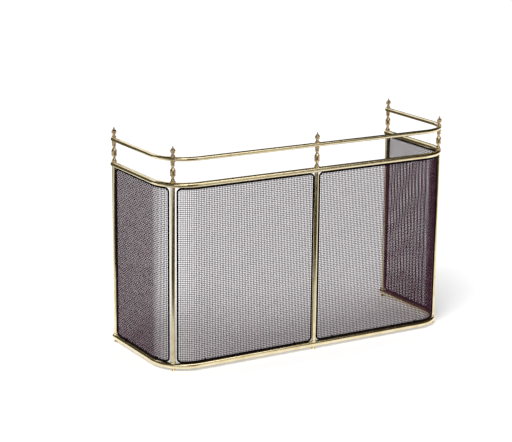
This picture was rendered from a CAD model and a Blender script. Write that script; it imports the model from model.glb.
"""Looks of a nursery fire fender: polished brass rails, posts and finials, and black-framed
panels of woven wire. Metres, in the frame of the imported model: +Z up, the front faces -Y."""

import math

import bpy
import numpy as np
from mathutils import Matrix, Vector


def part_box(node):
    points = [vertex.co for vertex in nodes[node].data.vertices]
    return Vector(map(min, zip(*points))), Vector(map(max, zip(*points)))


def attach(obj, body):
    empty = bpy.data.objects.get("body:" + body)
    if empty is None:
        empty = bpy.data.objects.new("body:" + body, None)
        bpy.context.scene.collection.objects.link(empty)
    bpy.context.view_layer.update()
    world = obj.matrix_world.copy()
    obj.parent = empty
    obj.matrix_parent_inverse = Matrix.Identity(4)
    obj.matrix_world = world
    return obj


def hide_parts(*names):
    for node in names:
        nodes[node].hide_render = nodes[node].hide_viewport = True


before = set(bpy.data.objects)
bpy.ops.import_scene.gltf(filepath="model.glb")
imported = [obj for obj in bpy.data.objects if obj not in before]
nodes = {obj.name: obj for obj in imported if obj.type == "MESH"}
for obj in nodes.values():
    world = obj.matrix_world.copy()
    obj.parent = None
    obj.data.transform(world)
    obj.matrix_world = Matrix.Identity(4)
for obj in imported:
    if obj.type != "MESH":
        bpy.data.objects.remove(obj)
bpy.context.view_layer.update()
bpy.context.scene.view_settings.view_transform = "Standard"

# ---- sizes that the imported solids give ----

base_lo, base_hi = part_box("base_rail")
panel_lo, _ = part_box("panel_rail")
post_lo, post_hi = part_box("tie_rod_front_left")
BASE_D = base_hi.z - base_lo.z
# The centre lines of the side rails, in x, and of the front rails, in y
HALF_SPAN = base_hi.x - BASE_D / 2
FRONT_Y = base_lo.y + BASE_D / 2
POST_X = (post_lo.x + post_hi.x) / 2
# The corner post stands half way round its bend, so its inset gives the bend's radius
CORNER_R = (HALF_SPAN + POST_X) / (1 - math.cos(math.pi / 4))
BEND_X = HALF_SPAN - CORNER_R
BEND_Y = FRONT_Y + CORNER_R

# ---- sizes of the panels' weave ----

FRAME_ROD = 2 * (-HALF_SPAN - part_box("frame_side_left")[0].x)
# Play between a panel's frame and the rails above and below it
FRAME_PLAY = 0.00015
# Radius of the centre line round a frame's corners
FRAME_BEND = 0.012
# How far past a frame bar's end its last ring of points is looked for
END_SLACK = 0.001
# The upright wires are a little the heavier
WARP_D = 0.00215
WEFT_D = 0.00175
WARP_PITCH = 0.00575
WEFT_PITCH = 0.0062
# The first and last upright wires of a panel stand this far from its frame's centre line
EDGE_GAP = 0.0085
WIRE_SIDES = 6
# Each wire swings this far to both sides, and the two add up so that crossing wires touch
WARP_SWING = 0.0009
WEFT_SWING = (WARP_D + WEFT_D) / 2 - WARP_SWING

FRAME_LOW = base_hi.z + FRAME_PLAY + FRAME_ROD / 2
FRAME_HIGH = panel_lo.z - FRAME_PLAY - FRAME_ROD / 2


# ---- materials ----


def new_material(name, colour, roughness, metallic=0.0, specular=0.5):
    """A material with its Principled shader set, and the node tree to add detail to."""
    material = bpy.data.materials.new(name)
    material.use_nodes = True
    tree = material.node_tree
    shader = tree.nodes["Principled BSDF"]
    shader.inputs["Base Color"].default_value = (*colour, 1)
    shader.inputs["Roughness"].default_value = roughness
    shader.inputs["Metallic"].default_value = metallic
    shader.inputs["Specular IOR Level"].default_value = specular
    return material, tree, shader


def noise(tree, scale, detail=4.0, stretch=(1, 1, 1)):
    """Noise over the object's own coordinates, in cycles to the metre."""
    place = tree.nodes.new("ShaderNodeTexCoord")
    mapping = tree.nodes.new("ShaderNodeMapping")
    mapping.inputs["Scale"].default_value = stretch
    texture = tree.nodes.new("ShaderNodeTexNoise")
    texture.inputs["Scale"].default_value = scale
    texture.inputs["Detail"].default_value = detail
    tree.links.new(place.outputs["Object"], mapping.inputs["Vector"])
    tree.links.new(mapping.outputs["Vector"], texture.inputs["Vector"])
    return texture.outputs["Fac"]


def ramp(tree, factor, stops):
    """A colour ramp; stops is a list of (position, linear colour)."""
    node = tree.nodes.new("ShaderNodeValToRGB")
    elements = node.color_ramp.elements
    while len(elements) < len(stops):
        elements.new(0.5)
    for element, (position, colour) in zip(elements, stops):
        element.position = position
        element.color = (*colour, 1)
    tree.links.new(factor, node.inputs["Fac"])
    return node.outputs["Color"]


def grey_range(tree, factor, low, high):
    """Maps noise, which lies mostly between 0.3 and 0.7, to the range low to high."""
    node = tree.nodes.new("ShaderNodeMapRange")
    node.inputs["From Min"].default_value = 0.3
    node.inputs["From Max"].default_value = 0.7
    node.inputs["To Min"].default_value = low
    node.inputs["To Max"].default_value = high
    tree.links.new(factor, node.inputs["Value"])
    return node.outputs["Result"]


def cloudy_colour(tree, shader, scale, stops):
    tree.links.new(ramp(tree, noise(tree, scale), stops), shader.inputs["Base Color"])


def uneven_gloss(tree, shader, scale, low, high):
    """Roughness that wanders between low and high."""
    rough = grey_range(tree, noise(tree, scale), low, high)
    tree.links.new(rough, shader.inputs["Roughness"])


def bump(tree, shader, height, strength, distance):
    node = tree.nodes.new("ShaderNodeBump")
    node.inputs["Strength"].default_value = strength
    node.inputs["Distance"].default_value = distance
    tree.links.new(height, node.inputs["Height"])
    tree.links.new(node.outputs["Normal"], shader.inputs["Normal"])


def brass_material():
    """Polished brass with a faint, cloudy tarnish and fine polishing marks."""
    material, tree, shader = new_material("brass", (0.86, 0.74, 0.47), 0.1, metallic=1.0)
    stops = [
        (0.30, (0.77, 0.64, 0.38)),
        (0.46, (0.87, 0.75, 0.48)),
        (0.70, (0.92, 0.82, 0.58)),
    ]
    cloudy_colour(tree, shader, 26, stops)
    uneven_gloss(tree, shader, 90, 0.09, 0.19)
    bump(tree, shader, noise(tree, 900, 2.0), 0.06, 0.0002)
    return material


def turned_brass_material():
    """The turned parts: duller and redder than the tubes, with fine turning marks round them."""
    material, tree, shader = new_material("brass_turned", (0.76, 0.58, 0.36), 0.25, metallic=1.0)
    stops = [
        (0.30, (0.58, 0.41, 0.23)),
        (0.50, (0.76, 0.58, 0.36)),
        (0.72, (0.87, 0.71, 0.47)),
    ]
    cloudy_colour(tree, shader, 70, stops)
    uneven_gloss(tree, shader, 160, 0.18, 0.31)
    bump(tree, shader, noise(tree, 700, 2.0, (0.05, 0.05, 1)), 0.1, 0.0002)
    return material


def black_material():
    """Black paint on rod: satin, a little uneven, greyer in spots."""
    material, tree, shader = new_material("black_iron", (0.008, 0.006, 0.006), 0.5, specular=0.04)
    stops = [
        (0.35, (0.003, 0.002, 0.002)),
        (0.62, (0.007, 0.005, 0.004)),
        (0.82, (0.03, 0.024, 0.018)),
    ]
    cloudy_colour(tree, shader, 60, stops)
    uneven_gloss(tree, shader, 140, 0.38, 0.6)
    bump(tree, shader, noise(tree, 700, 3.0), 0.25, 0.0003)
    return material


def wire_material():
    """Waxed wire cloth, dark with a red-brown cast."""
    material, tree, shader = new_material("wire_cloth", (0.07, 0.018, 0.039), 0.5, specular=0.06)
    stops = [
        (0.32, (0.041, 0.011, 0.023)),
        (0.55, (0.070, 0.018, 0.039)),
        (0.78, (0.104, 0.038, 0.064)),
    ]
    cloudy_colour(tree, shader, 45, stops)
    uneven_gloss(tree, shader, 300, 0.35, 0.6)
    bump(tree, shader, noise(tree, 1500, 2.0), 0.2, 0.0002)
    return material


def steel_material():
    """Plain bright steel rod with drawing marks along it."""
    material, tree, shader = new_material("steel", (0.56, 0.57, 0.58), 0.3, metallic=1.0)
    stops = [(0.35, (0.42, 0.42, 0.42)), (0.65, (0.60, 0.61, 0.62))]
    cloudy_colour(tree, shader, 40, stops)
    uneven_gloss(tree, shader, 120, 0.22, 0.4)
    bump(tree, shader, noise(tree, 500, 2.0, (1, 1, 0.03)), 0.2, 0.0002)
    return material


BRASS = brass_material()
TURNED = turned_brass_material()
BLACK = black_material()
WIRE = wire_material()
STEEL = steel_material()
BY_SLOT = {"brass": BRASS, "black_iron": BLACK, "steel": STEEL}


def dress(obj, material):
    """Gives every face of an object the same material."""
    obj.data.materials.clear()
    obj.data.materials.append(material)


def slot_of(name):
    if name.startswith(("frame_", "mesh_", "panel_staples")):
        return "black_iron"
    if name.startswith("tie_rod_"):
        return "steel"
    return "brass"


for name, node in nodes.items():
    turned = name.startswith(("finial_", "baluster_"))
    dress(node, TURNED if turned else BY_SLOT[slot_of(name)])


# ---- woven wire ----


class Panel:
    """The path of one panel: s runs from its straight end, along its side of the fender and
    round half a front corner. It is worked out from the panel frame's own solid."""

    def __init__(self, where):
        name = "frame_" + where
        low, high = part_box(name)
        self.side = -1 if where.endswith("left") else 1
        self.front = where.startswith("front")
        # Where the straight starts, in x at the front or in y at a side, and its length
        if self.front:
            start = low.x if self.side > 0 else -high.x
            self.start = start + FRAME_ROD / 2
            self.run = BEND_X - self.start
        else:
            self.start = high.y - FRAME_ROD / 2
            self.run = self.start - BEND_Y
        self.bend, self.length = self.far_end(name)

    def far_end(self, name):
        """(length of the bend, whole length): the last bar's axis, found from the solid."""
        points = np.empty(len(nodes[name].data.vertices) * 3)
        nodes[name].data.vertices.foreach_get("co", points)
        points = points.reshape(-1, 3)
        middle = (FRAME_LOW + FRAME_HIGH) / 2
        bar_half = (FRAME_HIGH - FRAME_LOW) / 2 - FRAME_BEND
        on_bars = np.abs(points[:, 2] - middle) < bar_half + END_SLACK
        centre = np.array([self.side * BEND_X, BEND_Y])
        flat = points[on_bars][:, :2]
        if self.front:
            flat = flat[np.abs(flat[:, 0]) > BEND_X]
        else:
            flat = flat[flat[:, 1] < BEND_Y]
        x, y = np.abs(flat.mean(axis=0) - centre)
        # The bar stands FRAME_BEND past the end of the bend, along its tangent
        angle = math.atan2(x, y) if self.front else math.atan2(y, x)
        bend = (angle - math.atan2(FRAME_BEND, CORNER_R)) * CORNER_R
        return bend, self.run + bend + FRAME_BEND

    def at(self, s, out=0.0):
        """The point at s, out metres outside the panel's middle surface, and its tangent."""
        turn = min(max(s - self.run, 0), self.bend) / CORNER_R
        past = max(s - self.run - self.bend, 0)
        along = min(s, self.run)
        radius = CORNER_R + out
        # In the panel's own plan: x along the straight, y outwards from its middle surface
        x = along + math.sin(turn) * radius + math.cos(turn) * past
        y = math.cos(turn) * radius - CORNER_R - math.sin(turn) * past
        tx, ty = math.cos(turn), -math.sin(turn)
        if self.front:
            return (self.side * (self.start + x), FRONT_Y - y), (self.side * tx, -ty)
        return (self.side * (HALF_SPAN + y), self.start - x), (self.side * ty, -tx)

    def reach(self, s):
        """(lowest, highest) z of the frame's centre line at s, round its corners."""
        lift = corner_rise(min(s, self.length - s))
        return FRAME_LOW + lift, FRAME_HIGH - lift

    def span(self, z):
        """(first, last) s of the frame's centre line at the height z, round its corners."""
        shift = corner_rise(min(z - FRAME_LOW, FRAME_HIGH - z))
        return shift, self.length - shift


def corner_rise(gap):
    """How far a frame's round corner draws one side in, at this distance from the next."""
    inset = FRAME_BEND - min(gap, FRAME_BEND)
    return FRAME_BEND - math.sqrt(FRAME_BEND**2 - inset**2)


def stations(length, edge, pitch):
    """Wires at even pitch between edge and length - edge."""
    count = max(round((length - 2 * edge) / pitch), 1)
    return [edge + (length - 2 * edge) * i / count for i in range(count + 1)]


def tube(rings, thick):
    """(vertices, faces) of a closed tube; rings is a list of (centre, across, up) vectors."""
    verts = []
    for centre, across, up in rings:
        for i in range(WIRE_SIDES):
            a = 2 * math.pi * (i + 0.5) / WIRE_SIDES
            verts.append(centre + (across * math.cos(a) + up * math.sin(a)) * thick / 2)
    faces = []
    for r in range(len(rings) - 1):
        low = r * WIRE_SIDES
        for i in range(WIRE_SIDES):
            j = (i + 1) % WIRE_SIDES
            faces.append((low + i, low + j, low + j + WIRE_SIDES, low + i + WIRE_SIDES))
    last = (len(rings) - 1) * WIRE_SIDES
    faces.append(tuple(reversed(range(WIRE_SIDES))))
    faces.append(tuple(range(last, last + WIRE_SIDES)))
    return verts, faces


def make_piece(name, tubes, replaced):
    """Joins the tubes into one piece, which rides with the fender and stands for a CAD node."""
    verts, faces = [], []
    for some_verts, some_faces in tubes:
        base = len(verts)
        verts += some_verts
        faces += [tuple(i + base for i in face) for face in some_faces]
    data = bpy.data.meshes.new(name)
    data.from_pydata(verts, [], faces)
    data.polygons.foreach_set("use_smooth", [len(face) == 4 for face in faces])
    data.update()
    piece = bpy.data.objects.new(name, data)
    bpy.context.scene.collection.objects.link(piece)
    dress(piece, WIRE)
    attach(piece, "root")
    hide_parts(replaced)


def weave(where):
    """The warp and weft of one panel, over and under each other at every crossing."""
    panel = Panel(where)
    height = FRAME_HIGH - FRAME_LOW
    columns = stations(panel.length, EDGE_GAP, WARP_PITCH)
    rows = [FRAME_LOW + z for z in stations(height, WEFT_PITCH, WEFT_PITCH)]

    def ring(s, z, out, upright):
        (x, y), (tx, ty) = panel.at(s, out)
        # A metre further out lies the end of the unit vector outwards
        (far_x, far_y), _ = panel.at(s, out + 1)
        outward = Vector((far_x - x, far_y - y, 0))
        across = Vector((tx, ty, 0)) if upright else Vector((0, 0, 1))
        return Vector((x, y, z)), across, outward

    warp = []
    for i, s in enumerate(columns):
        low, high = panel.reach(s)
        inside = [(j, z) for j, z in enumerate(rows) if low + WEFT_D < z < high - WEFT_D]
        places = [(low, 0.0)]
        places += [(z, WARP_SWING * (-1) ** (i + j)) for j, z in inside]
        places += [(high, 0.0)]
        warp.append(tube([ring(s, z, out, True) for z, out in places], WARP_D))
    weft = []
    for j, z in enumerate(rows):
        first, last = panel.span(z)
        inside = [(i, s) for i, s in enumerate(columns) if first + WARP_D < s < last - WARP_D]
        places = [(first, 0.0)]
        places += [(s, -WEFT_SWING * (-1) ** (i + j)) for i, s in inside]
        places += [(last, 0.0)]
        weft.append(tube([ring(s, z, out, False) for s, out in places], WEFT_D))
    make_piece("warp_" + where, warp, "mesh_" + where)
    make_piece("weft_" + where, weft, "mesh_" + where)


for where in ("side_left", "front_left", "front_right", "side_right"):
    weave(where)


# ---- camera, fitted to the photo ----

IMAGE_W = 512
SENSOR = 36.0
FOCAL_PX = 1724.2
CLIP_END = 60
CAMERA_AT = Vector((-2.9363, -4.7529, 1.857))
# In radians: to the right of +Y, below the level, and round the line of sight
YAW, PITCH, ROLL = 0.536, 0.2563, 0.0101

forward = Vector(
    (math.sin(YAW) * math.cos(PITCH), math.cos(YAW) * math.cos(PITCH), -math.sin(PITCH))
)
right = Vector((math.cos(YAW), -math.sin(YAW), 0))
above = right.cross(forward)


def make_camera():
    data = bpy.data.cameras.new("camera")
    data.sensor_fit = "HORIZONTAL"
    data.sensor_width = SENSOR
    data.lens = FOCAL_PX / IMAGE_W * SENSOR
    data.clip_end = CLIP_END
    camera = bpy.data.objects.new("camera", data)
    bpy.context.scene.collection.objects.link(camera)
    camera_x = right * math.cos(ROLL) + above * math.sin(ROLL)
    camera_y = above * math.cos(ROLL) - right * math.sin(ROLL)
    axes = Matrix((camera_x, camera_y, -forward)).transposed()
    camera.matrix_world = Matrix.Translation(CAMERA_AT) @ axes.to_4x4()
    bpy.context.scene.camera = camera


make_camera()


# ---- studio: a white floor, a wide sun, and a room that only shows in reflections ----
# The room lies square to the camera's yaw: u is to the camera's right, v is away from it, and
# both start at the fender's middle.

FLOOR_HALF = 12.0
# Seen directly, the floor adds its own white to the share of the light that it catches
FLOOR_GLOW = 0.245
FLOOR_CATCH = 0.95
# The share of the light that the floor sends on to the fender
FLOOR_BOUNCE = 0.85
# The strength of the world's light; where the world is seen directly, it is 1
WORLD_LEVEL = 0.47
# The direction of the sun in the room's u, v and z, its strength, and its width in degrees
SUN_TOWARDS = (-0.2, -0.62, 0.76)
SUN_STRENGTH = 1.9
SUN_WIDTH = 30

# The colours of the room's cards
DARK = (0.035, 0.028, 0.014)
DIM = (0.17, 0.15, 0.11)
SCREEN = (0.1, 0.088, 0.055)
SHADED = (0.72, 0.71, 0.67)
WINDOW = (1.3, 1.28, 1.22)
BRIGHT = (0.8, 0.78, 0.7)
SOFTBOX = (2.4, 2.37, 2.25)

# The walls stand this far from the middle, and the ceiling hangs this high
ROOM = 5.0
ROOM_HIGH = 3.2
# The left wall ends short of the ceiling, and the right one starts above the floor
LEFT_HIGH = 2.9
RIGHT_LOW = 0.6
# The right wall is bright in front of this and dark behind it
WALL_JOIN = -2.8
# The back is open, and so white, to the left of BACK_START and below BACK_LOW. To the left of
# BACK_START the ceiling is open too, from CEILING_JOIN on.
BACK_START = -0.35
BACK_LOW = 0.3
CEILING_JOIN = 1.0

# The floor's cards lie this far above it
FLOOR_CARD_Z = 0.0015
# The floor is white round the fender. Forwards it is shaded from FLOOR_SHADE on, dark from
# FLOOR_DARK to FLOOR_END, which gives the uprights their dark middle line, and shaded beyond.
FLOOR_SHADE = -0.42
FLOOR_DARK = -0.95
FLOOR_END = -2.8
# To the left of this the dark stretch stays shaded, for the uprights' bright left halves, and
# the floor is dark from LEFT_BACK on, for the side rails' dark undersides
LEFT_EDGE = -1.5
LEFT_BACK = 0.3

# The window stands just inside the front wall
WINDOW_LEFT, WINDOW_RIGHT = -2.4, 0.9
WINDOW_LOW = 0.9
WINDOW_V = -4.9

# The overhead panel lies square to the fender, in x and y, with a dimmer strip at its right end
SOFTBOX_Z = 2.7
SOFTBOX_LEFT, SOFTBOX_RIGHT, STRIP_RIGHT = -1.9, 1.7, 2.05
SOFTBOX_FRONT, SOFTBOX_BACK = -2.8, -1.45

# The screen behind the fender, in x and z; its lower part starts further right
SCREEN_Y = 0.75
SCREEN_LEFT, SCREEN_RIGHT = -2.2, 1.4
SCREEN_FOOT_LEFT = -0.3
SCREEN_FOOT_TOP, SCREEN_TOP = 0.3, 0.8


def rectangle(low, high):
    """The four corners between two opposite ones, in order."""
    (a0, b0), (a1, b1) = low, high
    return [(a0, b0), (a1, b0), (a1, b1), (a0, b1)]


def in_room(u, v, z):
    return right * u + Vector((math.sin(YAW), math.cos(YAW), 0)) * v + Vector((0, 0, z))


def seen_directly(tree):
    """1 for camera, glossy and transmission rays, which all see the white background."""
    path = tree.nodes.new("ShaderNodeLightPath")
    total = path.outputs["Is Camera Ray"]
    for ray in ("Is Glossy Ray", "Is Transmission Ray"):
        add = tree.nodes.new("ShaderNodeMath")
        add.operation = "MAXIMUM"
        tree.links.new(total, add.inputs[0])
        tree.links.new(path.outputs[ray], add.inputs[1])
        total = add.outputs["Value"]
    return total


def make_sheet(name, corners, material):
    """A flat four-cornered stage piece."""
    data = bpy.data.meshes.new(name)
    data.from_pydata(corners, [], [(0, 1, 2, 3)])
    sheet = bpy.data.objects.new(name, data)
    bpy.context.scene.collection.objects.link(sheet)
    dress(sheet, material)
    return sheet


def empty_material(name):
    material = bpy.data.materials.new(name)
    material.use_nodes = True
    material.node_tree.nodes.clear()
    return material, material.node_tree


def diffuse_shader(tree, level):
    shader = tree.nodes.new("ShaderNodeBsdfDiffuse")
    shader.inputs["Color"].default_value = (level, level, level, 1)
    return shader.outputs["BSDF"]


def glow_shader(tree, colour):
    shader = tree.nodes.new("ShaderNodeEmission")
    shader.inputs["Color"].default_value = (*colour, 1)
    return shader.outputs["Emission"]


def floor_material():
    material, tree = empty_material("floor_white")
    output = tree.nodes.new("ShaderNodeOutputMaterial")
    both = tree.nodes.new("ShaderNodeAddShader")
    tree.links.new(glow_shader(tree, (FLOOR_GLOW,) * 3), both.inputs[0])
    tree.links.new(diffuse_shader(tree, FLOOR_CATCH), both.inputs[1])
    mix = tree.nodes.new("ShaderNodeMixShader")
    tree.links.new(seen_directly(tree), mix.inputs["Fac"])
    tree.links.new(diffuse_shader(tree, FLOOR_BOUNCE), mix.inputs[1])
    tree.links.new(both.outputs["Shader"], mix.inputs[2])
    tree.links.new(mix.outputs["Shader"], output.inputs["Surface"])
    return material


def room_card(name, colour, corners):
    """A flat card of an even colour that only shows in reflections."""
    material, tree = empty_material(name)
    output = tree.nodes.new("ShaderNodeOutputMaterial")
    tree.links.new(glow_shader(tree, colour), output.inputs["Surface"])
    card = make_sheet(name, corners, material)
    card.visible_camera = False
    card.visible_diffuse = False
    card.visible_shadow = False
    card.visible_transmission = False


def wall(name, colour, start, end, low, high):
    """A room card that stands between two (u, v) points."""
    ends = [(start, low), (end, low), (end, high), (start, high)]
    room_card(name, colour, [in_room(u, v, z) for (u, v), z in ends])


def level_card(name, colour, low, high, z):
    """A room card that lies flat between two (u, v) corners."""
    room_card(name, colour, [in_room(u, v, z) for u, v in rectangle(low, high)])


def floor_card(name, colour, low, high):
    level_card(name, colour, low, high, FLOOR_CARD_Z)


def overhead(name, colour, low, high):
    """A room card that hangs level between two (x, y) corners, square to the fender."""
    room_card(name, colour, [(x, y, SOFTBOX_Z) for x, y in rectangle(low, high)])


def screen(name, low, high):
    """A dark room card that stands behind the fender between two (x, z) corners."""
    room_card(name, SCREEN, [(x, SCREEN_Y, z) for x, z in rectangle(low, high)])


def soft_sun(name, towards, strength, width):
    """A wide, distant lamp in the direction `towards`; the cards alone shape the reflections."""
    data = bpy.data.lights.new(name, "SUN")
    data.energy = strength
    data.angle = math.radians(width)
    lamp = bpy.data.objects.new(name, data)
    bpy.context.scene.collection.objects.link(lamp)
    lamp.matrix_world = (-towards).to_track_quat("-Z", "Y").to_matrix().to_4x4()
    lamp.visible_glossy = False


def white_world():
    """An even white, which is weaker as a light than where it is seen directly."""
    world = bpy.data.worlds.new("studio")
    world.use_nodes = True
    tree = world.node_tree
    background = tree.nodes["Background"]
    background.inputs["Color"].default_value = (1, 1, 1, 1)
    level = tree.nodes.new("ShaderNodeMapRange")
    level.inputs["To Min"].default_value = WORLD_LEVEL
    level.inputs["To Max"].default_value = 1.0
    tree.links.new(seen_directly(tree), level.inputs["Value"])
    tree.links.new(level.outputs["Result"], background.inputs["Strength"])
    bpy.context.scene.world = world


def white_floor():
    flat = rectangle((-FLOOR_HALF, -FLOOR_HALF), (FLOOR_HALF, FLOOR_HALF))
    make_sheet("floor", [(x, y, 0) for x, y in flat], floor_material())


white_world()
white_floor()
soft_sun("key", in_room(*SUN_TOWARDS), SUN_STRENGTH, SUN_WIDTH)
level_card("card_ceiling_near", DARK, (-ROOM, -ROOM), (ROOM, CEILING_JOIN), ROOM_HIGH)
level_card("card_ceiling_far", DARK, (BACK_START, CEILING_JOIN), (ROOM, ROOM), ROOM_HIGH)
floor_card("card_floor_end", DARK, (LEFT_EDGE, FLOOR_END), (ROOM, FLOOR_DARK))
floor_card("card_floor_far", SHADED, (-ROOM, FLOOR_END), (LEFT_EDGE, FLOOR_DARK))
floor_card("card_floor_front", SHADED, (-ROOM, -ROOM), (ROOM, FLOOR_END))
floor_card("card_floor_near", SHADED, (-ROOM, FLOOR_DARK), (ROOM, FLOOR_SHADE))
floor_card("card_floor_left", DARK, (-ROOM, LEFT_BACK), (LEFT_EDGE, ROOM))
# The lit panel overhead draws the bright line along the front rails
overhead("card_softbox", SOFTBOX, (SOFTBOX_LEFT, SOFTBOX_FRONT), (SOFTBOX_RIGHT, SOFTBOX_BACK))
overhead(
    "card_softbox_right", BRIGHT, (SOFTBOX_RIGHT, SOFTBOX_FRONT), (STRIP_RIGHT, SOFTBOX_BACK)
)
# The screen close behind the fender gives the tubes dark edges
screen("card_screen_top", (SCREEN_LEFT, SCREEN_FOOT_TOP), (SCREEN_RIGHT, SCREEN_TOP))
screen("card_screen_foot", (SCREEN_FOOT_LEFT, 0), (SCREEN_RIGHT, SCREEN_FOOT_TOP))
window_ends = (WINDOW_LEFT, WINDOW_V), (WINDOW_RIGHT, WINDOW_V)
wall("card_window", WINDOW, *window_ends, WINDOW_LOW, ROOM_HIGH)
wall("card_front", DIM, (-ROOM, -ROOM), (ROOM, -ROOM), 0, ROOM_HIGH)
wall("card_back", DARK, (BACK_START, ROOM), (ROOM, ROOM), BACK_LOW, ROOM_HIGH)
wall("card_left", DARK, (-ROOM, -ROOM), (-ROOM, ROOM), 0, LEFT_HIGH)
wall("card_right_near", BRIGHT, (ROOM, -ROOM), (ROOM, WALL_JOIN), RIGHT_LOW, ROOM_HIGH)
wall("card_right_far", DARK, (ROOM, WALL_JOIN), (ROOM, ROOM), RIGHT_LOW, ROOM_HIGH)
